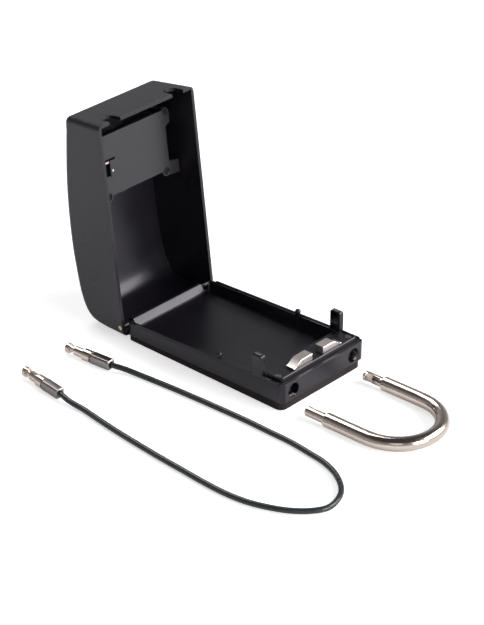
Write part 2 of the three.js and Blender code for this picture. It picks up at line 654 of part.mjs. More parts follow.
function plateScrew(x, y) {
  const face = PLATE_Z + SCREW.below;
  const tip = PLATE_Z + PLATE.thickness + SCREW.length - SCREW.spare;
  const head = rod('z', SCREW.head, face, PLATE_Z + SCREW.sunk - SEAT_GAP, x, y, 16);
  const shank = rod('z', SCREW.shank, face + SCREW.socketDepth, tip, x, y, 12);
  const socket = rod('z', SCREW.socket, 0, face + SCREW.socketDepth, x, y, 6);
  return head.add(shank).subtract(socket);
}

function changeLever() {
  const { back, front, reach, width, thickness, tip, proud } = LEVER;
  const bottom = PLATE_Z + PLATE.thickness + DRILL_GAP;
  const top = bottom + thickness;
  const strip = box(back, front, -reach, width - reach, bottom, top);
  return strip.add(box(front - tip, front, -reach, width - reach, PLATE_Z - proud, top));
}

function setPin() {
  const { x, y, radius, flange, flangeHeight } = SET_PIN;
  const bottom = PLATE_Z + PLATE.thickness + SEAT_GAP;
  const shank = rod('z', radius, PLATE_Z - PLATE_PAD.height + DRILL_GAP, bottom + flangeHeight / 2, x, y, 12);
  return shank.add(rod('z', radius + flange, bottom, bottom + flangeHeight, x, y, 12));
}

const wheelY = (i) => (i - (WHEEL.count - 1) / 2) * WHEEL.pitch;

function lockFrame() {
  const { back, front, inner, wall, top, webBottom, webTop } = FRAME;
  const outer = inner + wall;
  const bottom = PLATE_Z + PLATE.thickness + SEAT_GAP;
  const cheeks = both((side) => [sideBox(back, front, side, inner, outer, bottom, top)]);
  const web = box(back, back + wall, -outer, outer, webBottom, webTop);
  const foot = box(back, front, -outer, outer, bottom, bottom + FRAME.foot);
  const shaftHole = rod('y', SHAFT.radius + DRILL_GAP, -FAR, FAR, WHEEL.x, WHEEL.z, 16);
  return cut(join(...cheeks, web, foot), shaftHole);
}

function wheelShaft() {
  const reach = FRAME.inner + FRAME.wall + SHAFT.reach;
  const bar = rod('y', SHAFT.radius, -reach, reach, WHEEL.x, WHEEL.z, 16);
  return bar.add(rod('y', SHAFT.head, reach - SHAFT.headLength, reach, WHEEL.x, WHEEL.z, 16));
}

// Ten facets, one for each number, with a finger groove between them, and a facet toward the lid's front
function numberWheel() {
  const facet = [[-WHEEL.flat, 0], [WHEEL.flat, 0], [1, -WHEEL.groove]];
  const step = HALF_TURN / WHEEL.facets;
  const outline = Array.from({ length: WHEEL.facets }, (_, i) => facet.map(([share, drop]) => {
    const angle = (2 * i + 1 + share) * step;
    const radius = WHEEL.radius + drop;
    return [radius * Math.cos(angle), radius * Math.sin(angle)];
  })).flat();
  const half = WHEEL.width / 2;
  const ring = prismY(outline, -half, half, WHEEL.edge, 1);
  return ring.subtract(rod('y', SHAFT.radius + SHAFT.gap, -FAR, FAR, 0, 0, 16));
}

function wheelHub() {
  const start = WHEEL.width / 2 + HUB.gap;
  const disc = rod('y', HUB.radius, start, start + HUB.thickness, 0, 0, 24);
  const gate = box(-FAR, -HUB.radius + HUB.gate, 0, FAR, -HUB.gateHalf, HUB.gateHalf);
  return cut(disc, gate, rod('y', SHAFT.radius + SHAFT.gap, 0, FAR, 0, 0, 16));
}

function detentSpring() {
  const half = FRAME.inner + FRAME.wall;
  const leaf = box(LEAF.x, LEAF.x + LEAF.thickness, -half, half, LEAF.bottom, LEAF.top);
  const slits = Array.from({ length: WHEEL.count + 1 }, (_, i) => {
    const y = wheelY(i) - WHEEL.pitch / 2;
    return box(0, FAR, y - LEAF.slit / 2, y + LEAF.slit / 2, LEAF.root, FAR);
  });
  return cut(leaf, ...slits);
}

function latch(side) {
  const from = POST.back + POST_CHEEK + LATCH_FINGER_GAP;
  const to = POST.front - POST_CHEEK - LATCH_FINGER_GAP;
  const { tip, arm, armInner, back, elbow, inner } = LATCH;
  const outline = [
    [to, armInner], [to, tip], [from, tip], [from, arm],
    [back, arm], [back, inner], [elbow, inner], [elbow, armInner],
  ];
  const bar = sidedSlab(outline, side, LATCH.bottom, LATCH.top);
  return bar.subtract(sidedSlab(camSlot(), side, 0, FAR));
}

// The slot's slope draws the latch inward as the slider's pin travels along it
function camSlot() {
  const { x, y, slot, ease } = CAM;
  const endX = x - SLIDER_TRAVEL;
  const endY = y + LATCH_TRAVEL;
  return [
    [endX + slot, endY + slot], [endX - slot, endY + slot], [endX - slot, endY - ease],
    [x - slot, y - slot], [x + slot, y - slot], [x + slot, y + ease],
  ];
}

// Height of the lid's front at a place along the box
function frontZ(x) {
  const next = LID_FRONT.findIndex(([px]) => px < x);
  const [x1, z1] = LID_FRONT[next - 1];
  const [x0, z0] = LID_FRONT[next];
  return THREE.MathUtils.mapLinear(x, x0, x1, z0, z1);
}

function releaseSlider() {
  const { back, front, half, corner, edge, height, base } = KNOB;
  const bottom = frontZ(back - SLIDER_TRAVEL) + BEZEL.thickness + base;
  const top = bottom + height;
  const knob = prismZ(roundedOutline(back, front, -half, half, corner, 3), bottom, top, edge, 2);
  const grips = Array.from({ length: GRIP.count }, (_, i) => {
    const from = back + GRIP.first + i * GRIP.pitch;
    return box(from, from + GRIP.width, GRIP.inset - half, half - GRIP.inset, top - GRIP.depth, FAR);
  });
  const stem = box(STEM.back, STEM.front, -STEM.half, STEM.half, SLIDER_ARM.bottom, bottom + edge);
  const { reach, bottom: under, thickness } = SLIDER_ARM;
  const arm = box(STEM.back, STEM.front, -reach, reach, under, under + thickness);
  const pins = both((side) => [rod('z', CAM.radius, CAM.bottom, under + PAST, CAM.x, side * CAM.y, 12)]);
  return cut(join(knob, stem, arm, ...pins), ...grips);
}

function sliderSpring() {
  const at = (x) => new THREE.Vector3(x, 0, SLIDER_SPRING.z);
  return coilSpring(at(SPRING_LUG.front + SPRING_GAP), at(STEM.back - SPRING_GAP), SLIDER_SPRING);
}

function lockBezel() {
  const { back, front, half, corner, thickness, gap } = BEZEL;
  const sheet = lidForm(-thickness, 0);
  const core = lidForm(-gap, 0);
  const patch = prismZ(roundedOutline(back, front, -half, half, corner, 5), ...SKIN_BAND);
  const aside = WHEEL.width / 2 + WHEEL_WINDOW.side;
  const [from, to] = [WHEEL.x - WHEEL_WINDOW.half, WHEEL.x + WHEEL_WINDOW.half];
  const window = (y) => box(from, to, y - aside, y + aside, ...SKIN_BAND);
  const windows = Array.from({ length: WHEEL.count }, (_, i) => window(wheelY(i)));
  return cut(patch.intersect(sheet), core, ...windows, sliderSlot());
}

// Shackle and cable, lying flat

function shackle() {
  const { radius, half, leg, tip, sides, steps } = SHACKLE;
  const shoulder = -leg + tip;
  const at = (x, y) => new THREE.Vector3(x, y, 0);
  const path = new THREE.CurvePath();
  path.add(new THREE.LineCurve3(at(shoulder, -half), at(0, -half)));
  path.add(new THREE.CatmullRomCurve3(arc(0, 0, half, -90, 90, 12).map(([x, y]) => at(x, y))));
  path.add(new THREE.LineCurve3(at(0, half), at(shoulder, half)));
  return join(tube(path, radius, sides, steps), ...both((side) => [shackleTip(side, -leg, shoulder)]));
}

function shackleTip(side, end, shoulder) {
  const { half, tipRadius, radius } = SHACKLE;
  const stop = radius - SHOULDER.round;
  const profile = [
    [0, end], [tipRadius - TIP_CHAMFER, end], [tipRadius, end + TIP_CHAMFER],
    [tipRadius, shoulder - SHOULDER.slope], [stop, shoulder], [stop, shoulder + PAST], [0, shoulder + PAST],
  ];
  const turned = new THREE.LatheGeometry(profile.map(([r, z]) => new THREE.Vector2(r, z)), 20);
  turned.rotateZ(-HALF_TURN / 2);
  turned.translate(0, side * half, 0);
  const inner = half - tipRadius;
  const from = end + TIP_NOTCH.start;
  const notch = sideBox(from, from + TIP_NOTCH.length, side, 0, inner + TIP_NOTCH.depth, -radius, radius);
  return toSolid(turned).subtract(notch);
}

// From the collar beside the ferrule to the head that the bolt catches
function cableStud() {
  let x = 0;
  const points = [[0, 0]];
  STUD_SECTIONS.forEach(({ radius, length }, i) => {
    const nose = i === STUD_SECTIONS.length - 1 ? STUD_NOSE.length : 0;
    points.push([radius, x], [radius, x + length - nose]);
    x += length;
  });
  const { radius } = STUD_SECTIONS[STUD_SECTIONS.length - 1];
  points.push([radius - STUD_NOSE.inset, x], [0, x]);
  const lathe = new THREE.LatheGeometry(points.map(([r, z]) => new THREE.Vector2(r, z)), 16);
  lathe.rotateZ(HALF_TURN / 2);
  lathe.translate(-SEAT_GAP, 0, 0);
  return toSolid(lathe);
}

function ferrule() {
  const { across, length, edge, corner, mouth, mouthGap } = FERRULE;
  const half = across / 2;
  const sleeve = prismX(roundedOutline(-half, half, -half, half, corner, 2), 0, length, edge, 1);
  return sleeve.subtract(rod('x', CABLE_RADIUS + mouthGap, length - mouth, FAR, 0, 0, 12));
}

// A fitting's place: the ferrule's cable end, its heading, and the stud beyond the ferrule
function fittingFrame({ x, y, heading }) {
  const turn = THREE.MathUtils.degToRad(heading);
  const dx = Math.cos(turn);
  const dy = Math.sin(turn);
  const back = [x - dx * FERRULE.length, y - dy * FERRULE.length];
  const out = [x + dx * CABLE_GAP, y + dy * CABLE_GAP];
  return { turn, back, out };
}

function cable() {
  const upper = fittingFrame(FITTINGS.upper);
  const lower = fittingFrame(FITTINGS.lower);
  const route = [[...upper.out, FITTING_Z], ...CABLE_ROUTE, [...lower.out, FITTING_Z]];
  const points = route.map((point) => new THREE.Vector3(...point));
  return tube(new THREE.CatmullRomCurve3(points, false, 'centripetal'), CABLE_RADIUS, 8, 78);
}

// Scene graph

const lockBox = new THREE.Group();

function addPiece(parent, name, solid, look) {
  const mesh = new THREE.Mesh(toGeometry(solid), new THREE.MeshStandardMaterial(look));
  mesh.name = name;
  parent.add(mesh);
  return mesh;
}

addPiece(lockBox, 'back_pad', backPad(), RUBBER);
addPiece(lockBox, 'base_tray', baseTray(), BLACK_COAT);
addPiece(lockBox, 'cover_plate', coverPlate(), BLACK_COAT);
Object.entries(SIDES).forEach(([name, side]) => {
  addPiece(lockBox, `cover_screw_${name}`, coverScrew(side), BLACK_STEEL);
  addPiece(lockBox, `shackle_bolt_${name}`, shackleBolt(side), STEEL);
  addPiece(lockBox, `bolt_spring_${name}`, boltSpring(side), STEEL);
});
addPiece(lockBox, 'hinge_pin', hingePin(), NICKEL);

// The lid group turns about the hinge pin, so that pieces written closed stand open
const lidPivot = new THREE.Group();
lidPivot.name = 'lid_pivot';
lidPivot.position.set(HINGE_X, 0, HINGE_Z);
lidPivot.rotation.y = -THREE.MathUtils.degToRad(OPEN_ANGLE);
const lid = new THREE.Group();
lid.position.set(-HINGE_X, 0, -HINGE_Z);
lidPivot.add(lid);
lockBox.add(lidPivot);

addPiece(lid, 'lid_shell', lidShell(), BLACK_COAT);
addPiece(lid, 'lock_plate', lockPlate(), GREY_COAT);
PLATE_SCREWS.forEach(([x, y], row) => Object.entries(SIDES).forEach(([name, side]) => {
  addPiece(lid, `plate_screw_${name}_${row + 1}`, plateScrew(x, side * y), BLACK_STEEL);
}));
addPiece(lid, 'change_lever', changeLever(), NICKEL);
addPiece(lid, 'set_pin', setPin(), NICKEL);
addPiece(lid, 'lock_frame', lockFrame(), STEEL);
addPiece(lid, 'wheel_shaft', wheelShaft(), STEEL);
for (let i = 0; i < WHEEL.count; i += 1) {
  addPiece(lid, `number_wheel_${i + 1}`, numberWheel(), PLASTIC).position.set(WHEEL.x, wheelY(i), WHEEL.z);
  addPiece(lid, `wheel_hub_${i + 1}`, wheelHub(), STEEL).position.set(WHEEL.x, wheelY(i), WHEEL.z);
}
addPiece(lid, 'detent_spring', detentSpring(), STEEL);
Object.entries(SIDES).forEach(([name, side]) => addPiece(lid, `latch_${name}`, latch(side), STEEL));
addPiece(lid, 'release_slider', releaseSlider(), PLASTIC);
addPiece(lid, 'slider_spring', sliderSpring(), STEEL);
addPiece(lid, 'lock_bezel', lockBezel(), BLACK_COAT);

const loop = addPiece(lockBox, 'shackle', shackle(), NICKEL);
loop.position.set(SHACKLE.x, SHACKLE.y, SHACKLE.radius);
loop.rotation.z = THREE.MathUtils.degToRad(SHACKLE.yaw);

addPiece(lockBox, 'cable', cable(), CABLE_COAT);
Object.entries(FITTINGS).forEach(([name, place]) => {
  const { turn, back } = fittingFrame(place);
  const fitting = new THREE.Group();
  fitting.position.set(back[0], back[1], FITTING_Z);
  fitting.rotation.z = turn;
  lockBox.add(fitting);
  addPiece(fitting, `cable_ferrule_${name}`, ferrule(), STEEL);
  addPiece(fitting, `cable_stud_${name}`, cableStud(), NICKEL);
});

export default lockBox;
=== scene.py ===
"""Looks for the portable key lock box: finishes, lettering on the number wheels, cable, floor and light."""
import json
import math

import bmesh
import bpy
from mathutils import Matrix, Vector


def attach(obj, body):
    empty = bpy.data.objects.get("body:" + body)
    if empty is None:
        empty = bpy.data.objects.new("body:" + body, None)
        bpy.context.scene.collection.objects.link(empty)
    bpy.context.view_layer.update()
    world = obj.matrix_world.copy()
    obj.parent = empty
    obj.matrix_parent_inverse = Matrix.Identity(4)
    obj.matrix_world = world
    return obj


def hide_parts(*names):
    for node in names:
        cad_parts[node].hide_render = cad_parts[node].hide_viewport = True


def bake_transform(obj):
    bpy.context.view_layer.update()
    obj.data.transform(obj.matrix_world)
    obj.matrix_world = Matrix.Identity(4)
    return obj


MM = 0.001
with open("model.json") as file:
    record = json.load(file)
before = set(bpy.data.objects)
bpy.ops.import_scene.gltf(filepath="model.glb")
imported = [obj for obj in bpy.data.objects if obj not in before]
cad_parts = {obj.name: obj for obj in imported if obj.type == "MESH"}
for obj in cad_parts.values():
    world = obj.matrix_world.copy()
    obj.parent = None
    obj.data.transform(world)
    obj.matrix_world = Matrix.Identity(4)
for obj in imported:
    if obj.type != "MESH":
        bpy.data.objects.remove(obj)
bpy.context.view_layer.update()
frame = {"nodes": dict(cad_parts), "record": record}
nodes = frame["nodes"]
scene = bpy.context.scene

# Camera: where the photograph was taken from. Angles in degrees, distances in metres, lens and sensor in
# millimetres
CAMERA = {
    "azimuth": 42.003,
    "elevation": 29.461,
    "roll": 0.407,
    "distance": 1.615734,
    "farthest": 20,
    "lens": 142.78,
    "sensor": 36,
}
CAMERA_TARGET = Vector((-14.5, 12.227, 20)) * MM


def place_camera():
    """A camera at its azimuth and elevation round the target, turned by its roll."""
    turn, rise, roll = (math.radians(CAMERA[k]) for k in ("azimuth", "elevation", "roll"))
    back = Vector((math.sin(turn) * math.cos(rise), -math.cos(turn) * math.cos(rise), math.sin(rise)))
    right = Vector((math.cos(turn), math.sin(turn), 0))
    up = back.cross(right)
    across = math.cos(roll) * right + math.sin(roll) * up
    upward = math.cos(roll) * up - math.sin(roll) * right
    data = bpy.data.cameras.new("photo_camera")
    data.lens = CAMERA["lens"]
    data.sensor_width = CAMERA["sensor"]
    data.clip_end = CAMERA["farthest"]
    camera = bpy.data.objects.new("photo_camera", data)
    spot = CAMERA_TARGET + back * CAMERA["distance"]
    camera.matrix_world = Matrix.Translation(spot) @ Matrix((across, upward, back)).transposed().to_4x4()
    scene.collection.objects.link(camera)
    scene.camera = camera


place_camera()


# Node helpers
def linear(hex_colour):
    """An sRGB hex value as the linear colour that a shader takes."""
    values = [int(hex_colour[i:i + 2], 16) / 255 for i in (1, 3, 5)]
    return [v / 12.92 if v <= 0.04045 else ((v + 0.055) / 1.055) ** 2.4 for v in values] + [1]


def node(tree, kind, inputs=None, **settings):
    """Adds a node, sets its properties, and fills each input with a value or a link."""
    made = tree.nodes.new(kind)
    for key, value in settings.items():
        setattr(made, key, value)
    for key, value in (inputs or {}).items():
        socket = made.inputs[key]
        if isinstance(value, bpy.types.NodeSocket):
            tree.links.new(value, socket)
        else:
            socket.default_value = value
    return made


def new_material(name):
    """A material with an empty node tree."""
    material = bpy.data.materials.new(name)
    material.use_nodes = True
    material.node_tree.nodes.clear()
    return material, material.node_tree


def per_mm(size):
    """A noise scale whose pattern is about that many millimetres across."""
    return 1 / (size * MM)


def surface(name, colours, roughness, grain, depth, patch=18, edge=0.35, base=None):
    """A finish: two close colours in soft patches, a band of roughness, a fine grain and softened edges.

    grain is the grain's size and depth its height, and patch the size of a patch, all in millimetres.
    edge is the radius in millimetres that a tool or a coat leaves on each corner.
    """
    material, tree = new_material(name)
    place = node(tree, "ShaderNodeTexCoord").outputs["Object"]
    patches = node(tree, "ShaderNodeTexNoise", {
        "Vector": place, "Scale": per_mm(patch), "Detail": 3.0}).outputs["Fac"]
    fine = node(tree, "ShaderNodeTexNoise", {
        "Vector": place, "Scale": per_mm(grain), "Detail": 2.0}).outputs["Fac"]
    tone = node(tree, "ShaderNodeMix", {
        "Factor": patches, "A": linear(colours[0]), "B": linear(colours[1])}, data_type="RGBA")
    rough = node(tree, "ShaderNodeMapRange", {
        "Value": patches, "From Min": 0.3, "From Max": 0.7, "To Min": roughness[0], "To Max": roughness[1]})
    bump = node(tree, "ShaderNodeBump", {"Height": fine, "Distance": depth * MM, "Strength": 1.0})
    if edge:
        corner = node(tree, "ShaderNodeBevel", {"Radius": edge * MM}, samples=6)
        tree.links.new(corner.outputs[0], bump.inputs["Normal"])
    shader = node(tree, "ShaderNodeBsdfPrincipled", {
        "Base Color": tone.outputs["Result"], "Roughness": rough.outputs["Result"],
        "Normal": bump.outputs["Normal"], **(base or {})})
    node(tree, "ShaderNodeOutputMaterial", {"Surface": shader.outputs[0]})
    return material


METAL = {"Metallic": 1.0}
# Zinc die castings under an electrophoretic coat: black, satin, with the casting's slight orange peel
CAST_COAT = surface("satin_black_coat_on_cast_zinc", ("#131117", "#19171d"), (0.27, 0.33),
                    grain=1.1, depth=0.008, base={"Specular Tint": linear("#f4f0f6")})
# Stamped steel sheet under the same black coat, painted a shade greyer all over: painted light, for the light
# that falls on the plate
LIT_COAT_COPY = surface("black_coat_painted_greyer_as_lit", ("#201e21", "#262428"), (0.3, 0.36),
                     grain=0.9, depth=0.008, edge=0.25)
# Moulded rubber: matt, brownish black, with a fine dusty grain
PAD_RUBBER = surface("moulded_black_rubber", ("#1f1a1b", "#29211f"), (0.72, 0.86),
                     grain=0.8, depth=0.03, base={"Specular IOR Level": 0.3})
# Steel bar, polished and nickel plated: bright, warm, with a soft polishing haze
NICKEL = surface("polished_nickel_plate", ("#dccfc7", "#cbbdb4"), (0.14, 0.2),
                 grain=1.4, depth=0.001, edge=0, base=METAL)
# Cast and tumbled stainless steel: satin, warm silver
BOLT_STEEL = surface("tumbled_stainless_steel", ("#e0d8d4", "#cfc6c2"), (0.27, 0.34),
                     grain=3, depth=0.002, edge=0, base=METAL)
# Stamped and machined steel inside the lock, zinc plated and slightly dull
PLATED_STEEL = surface("zinc_plated_steel", ("#b9b7b4", "#9d9b99"), (0.3, 0.42),
                       grain=0.8, depth=0.006, edge=0.15, base=METAL)
# Cut end of a steel rod under a yellow zinc wash: bright, a little golden
HINGE_STEEL = surface("yellow_washed_steel_rod", ("#e0cfae", "#d0bd98"), (0.3, 0.4),
                      grain=0.6, depth=0.002, edge=0, base=METAL)
# Screws with a black oxide finish: oily dark sheen. The same black on the lever, which is bright plated, is
# painted shade
BLACK_OXIDE_AND_SHADE = surface("black_oxide_steel_and_painted_shade", ("#0d0d0f", "#151517"), (0.4, 0.52),
                      grain=0.5, depth=0.004, edge=0.15, base={"Specular IOR Level": 0.3})
# Screws with a thin dark nickel plate: a grey ring round the black recess
DARK_NICKEL = surface("dark_nickel_steel", ("#8a878a", "#777477"), (0.3, 0.4),
                      grain=0.5, depth=0.003, edge=0.2, base={"Metallic": 0.9})
# Moulded ABS: fine matt spark texture
ABS = surface("moulded_black_abs", ("#1a1a1c", "#202022"), (0.48, 0.56), grain=0.6, depth=0.012, edge=0.3)
# Paint pressed into the wheels' numbers
NUMBER_PAINT = surface("white_number_paint", ("#e9e8e4", "#dedcd6"), (0.5, 0.6),
                       grain=0.5, depth=0.003, edge=0.05)
# Crimped aluminium alloy sleeve: bead blasted, soft grey
CRIMPED_ALLOY = surface("blasted_aluminium_alloy", ("#948e8d", "#827c7b"), (0.26, 0.38),
                        grain=0.6, depth=0.01, base=METAL)


def sheathed_rope():
    """Steel rope under a dark vinyl sheath: half glossy, with the strands' lay just showing through."""
    material, tree = new_material("dark_vinyl_sheath_over_rope")
    along = node(tree, "ShaderNodeUVMap", uv_map="sheath")
    place = node(tree, "ShaderNodeTexCoord").outputs["Object"]
    # The UV map counts turns of the strands, which lie at a slant and stand 0.05 mm high
    lay = node(tree, "ShaderNodeTexWave", {
        "Vector": along.outputs[0], "Scale": 1.0, "Distortion": 0.4}, bands_direction="DIAGONAL")
    spots = node(tree, "ShaderNodeTexNoise", {
        "Vector": place, "Scale": per_mm(9), "Detail": 3.0}).outputs["Fac"]
    tone = node(tree, "ShaderNodeMix", {
        "Factor": spots, "A": linear("#24272a"), "B": linear("#303436")}, data_type="RGBA")
    rough = node(tree, "ShaderNodeMapRange", {"Value": spots, "To Min": 0.2, "To Max": 0.28})
    bump = node(tree, "ShaderNodeBump", {
        "Height": lay.outputs["Fac"], "Distance": 0.05 * MM, "Strength": 1.0})
    shader = node(tree, "ShaderNodeBsdfPrincipled", {
        "Base Color": tone.outputs["Result"], "Roughness": rough.outputs["Result"],
        "Normal": bump.outputs["Normal"], "IOR": 1.5})
    node(tree, "ShaderNodeOutputMaterial", {"Surface": shader.outputs[0]})
    return material


VINYL = sheathed_rope()

SIDES = ("near", "far")
FITTING_SIDES = ("upper", "lower")
# Finish of each piece; those that aren't named are plated steel
FINISHES = {
    "back_pad": PAD_RUBBER,
    "base_tray": CAST_COAT,
    "cover_plate": CAST_COAT,
    "lid_shell": CAST_COAT,
    "lock_bezel": CAST_COAT,
    # The plate's coat is the black coat painted greyer, as painted light
    "lock_plate": LIT_COAT_COPY,
    "hinge_pin": HINGE_STEEL,
    # The lever's black is painted shade; the lever itself is bright plated
    "change_lever": BLACK_OXIDE_AND_SHADE,
    "set_pin": NICKEL,
    "shackle": NICKEL,
    "release_slider": ABS,
    **{f"number_wheel_{i}": ABS for i in range(1, 5)},
    **{f"cable_stud_{side}": NICKEL for side in FITTING_SIDES},
    **{f"cable_ferrule_{side}": CRIMPED_ALLOY for side in FITTING_SIDES},
    **{f"shackle_bolt_{side}": BOLT_STEEL for side in SIDES},
    **{f"cover_screw_{side}": DARK_NICKEL for side in SIDES},
    **{f"plate_screw_{side}_{row}": BLACK_OXIDE_AND_SHADE for side in SIDES for row in (1, 2)},
}
# Angle in degrees past which an edge stays crisp, and other angles for pieces with wide or slight facets
CRISP_ANGLE = 34
CRISP_ANGLES = {
    "shackle": 50,
    "lid_shell": 32,
    "hinge_pin": 40,
    "shackle_bolt_near": 25,
    "shackle_bolt_far": 25,
}
# Vertices nearer than this in millimetres are one, and faces within this angle in degrees are one
WELD = 0.002
FLAT_ANGLE = 0.3


def evaluated_mesh(piece):
    """The piece's mesh with its modifiers applied."""
    bpy.context.view_layer.update()
    return bpy.data.meshes.new_from_object(piece.evaluated_get(bpy.context.evaluated_depsgraph_get()))


def finished(name):
    """A smooth-shaded copy of a CAD piece that stands for it, with smooth rounds and crisp edges."""
    mesh = nodes[name].data.copy()
    mesh.name = name + "_finished"
    mesh.materials.clear()
    mesh.materials.append(FINISHES.get(name, PLATED_STEEL))
    work = bmesh.new()
    work.from_mesh(mesh)
    bmesh.ops.remove_doubles(work, verts=work.verts, dist=WELD * MM)
    bmesh.ops.dissolve_limit(work, angle_limit=math.radians(FLAT_ANGLE), verts=work.verts, edges=work.edges)
    work.to_mesh(mesh)
    work.free()
    mesh.shade_smooth()
    mesh.set_sharp_from_angle(angle=math.radians(CRISP_ANGLES.get(name, CRISP_ANGLE)))
    piece = bpy.data.objects.new(name + "_finished", mesh)
    scene.collection.objects.link(piece)
    # Wide faces keep flat normals, and the rounds between them take up the turn
    evened = piece.modifiers.new("evened_normals", "WEIGHTED_NORMAL")
    evened.mode = "FACE_AREA"
    evened.weight = 100
    evened.keep_sharp = True
    piece.data = evaluated_mesh(piece)
    piece.modifiers.clear()
    bpy.data.meshes.remove(mesh)
    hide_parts(name)
    return piece


def pressed_spring(piece, seat, presser, axis):
    """A coil spring whose place is baked into its mesh where it stands; it does not follow what presses it.
    """
    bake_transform(piece)


# The lid's pieces are placed as if it were shut, and turned open about the hinge
HINGE = Vector((-71.5, 0, 9.4)) * MM
OPEN_TURN = Matrix.Rotation(math.radians(-97.4), 4, "Y")
OPEN = Matrix.Translation(HINGE) @ OPEN_TURN @ Matrix.Translation(-HINGE)
# Springs, with the body that presses each one and the way from its seat to that body
SPRINGS = {
    "bolt_spring_near": ("bolt_near", Vector((0, -1, 0))),
    "bolt_spring_far": ("bolt_far", Vector((0, 1, 0))),
    "slider_spring": ("release", OPEN.to_3x3() @ Vector((1, 0, 0))),
}
bodies = frame["record"]["behaviour"]["bodies"]
body_of = {member: body for body, members in bodies.items() for member in members}
dressed = {}
for name in nodes:
    if name == "cable":
        continue
    dressed[name] = finished(name)
    if name in SPRINGS:
        pressed_spring(dressed[name], body_of[name], *SPRINGS[name])
    else:
        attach(dressed[name], body_of[name])


# Height of the plate's back in the shut lid, in millimetres
PLATE_BACK = 24.7


def second_finish(name, material, where):
    """Gives a second finish to the faces of a piece that pass a test."""
    mesh = dressed[name].data
    mesh.materials.append(material)
    for face in mesh.polygons:
        face.material_index = int(where(face))


def past_plate(face):
    return (OPEN.inverted() @ face.center).z < PLATE_BACK * MM


def along_pin(face):
    return abs(face.normal.y) < 0.5


# The lever's end stands through the plate in bright plate, and its part inside the lid keeps the black as
# painted shade seen through the slot. The pin is coated along its side but not on its ends
second_finish("change_lever", NICKEL, past_plate)
second_finish("hinge_pin", CAST_COAT, along_pin)

# The cable, along the same route as its solid, in millimetres
CABLE_RADIUS = 1.85
CABLE_SIDES = 16
# Length of one turn of the rope's strands
LAY_LENGTH = 7
# Height of the cable's middle where it lies on the surface, where it nears a ferrule, and at the mouth
CABLE_Z = CABLE_RADIUS + 0.1
RISING_Z = 3
FITTING_Z = 4
# The cable starts just clear of each ferrule's mouth, whose place and heading in degrees are these
CABLE_GAP = 0.3
FITTINGS = {"upper": (-49, -74.2, 5), "lower": (-47.5, -121.1, -7)}
# The cable's way round on the surface, as seen from above
CABLE_LOOP = [
    (-25.5, -68), (4, -65.5), (31.5, -64), (57.5, -63), (76.5, -63), (94, -63), (109.5, -64.5), (124, -66.5),
    (138, -72), (150.5, -82), (156, -92.5), (157, -102), (152, -111), (143, -119), (131.5, -125),
    (118, -129.5), (102.5, -131.5), (85, -131.5), (66.5, -130.5), (47.5, -129.5), (27, -128), (5, -126),
    (-15, -123.5), (-26.5, -122),
]
CABLE_ROUTE = [(-40, -70.9, RISING_Z), *((x, y, CABLE_Z) for x, y in CABLE_LOOP), (-38, -122.4, RISING_Z)]


def ferrule_mouth(side):
    """The point where the cable leaves a ferrule."""
    x, y, heading = FITTINGS[side]
    turn = math.radians(heading)
    return (x + CABLE_GAP * math.cos(turn), y + CABLE_GAP * math.sin(turn), FITTING_Z)


def smooth_route(points, steps=16):
    """A centripetal Catmull-Rom curve through points in millimetres, in metres."""
    points = [Vector(p) for p in points]
    ends = [2 * points[0] - points[1], *points, 2 * points[-1] - points[-2]]
    route = []
    for p0, p1, p2, p3 in zip(ends, ends[1:], ends[2:], ends[3:]):
        t1 = (p1 - p0).length ** 0.5
        t2 = t1 + (p2 - p1).length ** 0.5
        t3 = t2 + (p3 - p2).length ** 0.5
        for i in range(steps):
            t = t1 + (t2 - t1) * i / steps
            a1 = p0 * ((t1 - t) / t1) + p1 * (t / t1)
            a2 = p1 * ((t2 - t) / (t2 - t1)) + p2 * ((t - t1) / (t2 - t1))
            a3 = p2 * ((t3 - t) / (t3 - t2)) + p3 * ((t - t2) / (t3 - t2))
            b1 = a1 * ((t2 - t) / t2) + a2 * (t / t2)
            b2 = a2 * ((t3 - t) / (t3 - t1)) + a3 * ((t - t1) / (t3 - t1))
            route.append(b1 * ((t2 - t) / (t2 - t1)) + b2 * ((t - t1) / (t2 - t1)))
    route.append(points[-1])
    return [p * MM for p in route]


def swept_tube(name, route, radius, sides, turn_length, material):
    """A round tube along a route, whose UV map counts turns of its strands and goes once round its girth."""
    work = bmesh.new()
    sheath = work.loops.layers.uv.new("sheath")
    side_ways = Vector((0, 0, 1)).cross(route[1] - route[0]).normalized()
    rings, marks, run = [], [], 0
    last = len(route) - 1
    for i, point in enumerate(route):
        ahead = (route[min(i + 1, last)] - route[max(i - 1, 0)]).normalized()
        side_ways = (side_ways - ahead * side_ways.dot(ahead)).normalized()
        other = ahead.cross(side_ways)
        run += (point - route[i - 1]).length if i else 0
        marks.append(run / turn_length)
        rings.append([work.verts.new(point + radius * (math.cos(a) * side_ways + math.sin(a) * other))
                      for a in (2 * math.pi * k / sides for k in range(sides))])
    for i in range(last):
        for k in range(sides):
            after = (k + 1) % sides
            face = work.faces.new((rings[i][k], rings[i][after], rings[i + 1][after], rings[i + 1][k]))
            face.smooth = True
            corners = ((marks[i], k), (marks[i], k + 1), (marks[i + 1], k + 1), (marks[i + 1], k))
            for loop, (u, v) in zip(face.loops, corners):
                loop[sheath].uv = (u, v / sides)
    work.faces.new(list(reversed(rings[0])))
    work.faces.new(rings[-1])
    mesh = bpy.data.meshes.new(name)
    work.to_mesh(mesh)
    work.free()
    mesh.materials.append(material)
    piece = bpy.data.objects.new(name, mesh)
    scene.collection.objects.link(piece)
    return piece


cable_path = smooth_route([ferrule_mouth("upper"), *CABLE_ROUTE, ferrule_mouth("lower")])
cable_piece = swept_tube("sheathed_cable", cable_path, CABLE_RADIUS * MM, CABLE_SIDES, LAY_LENGTH * MM, VINYL)
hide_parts("cable")
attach(cable_piece, "cable_set")

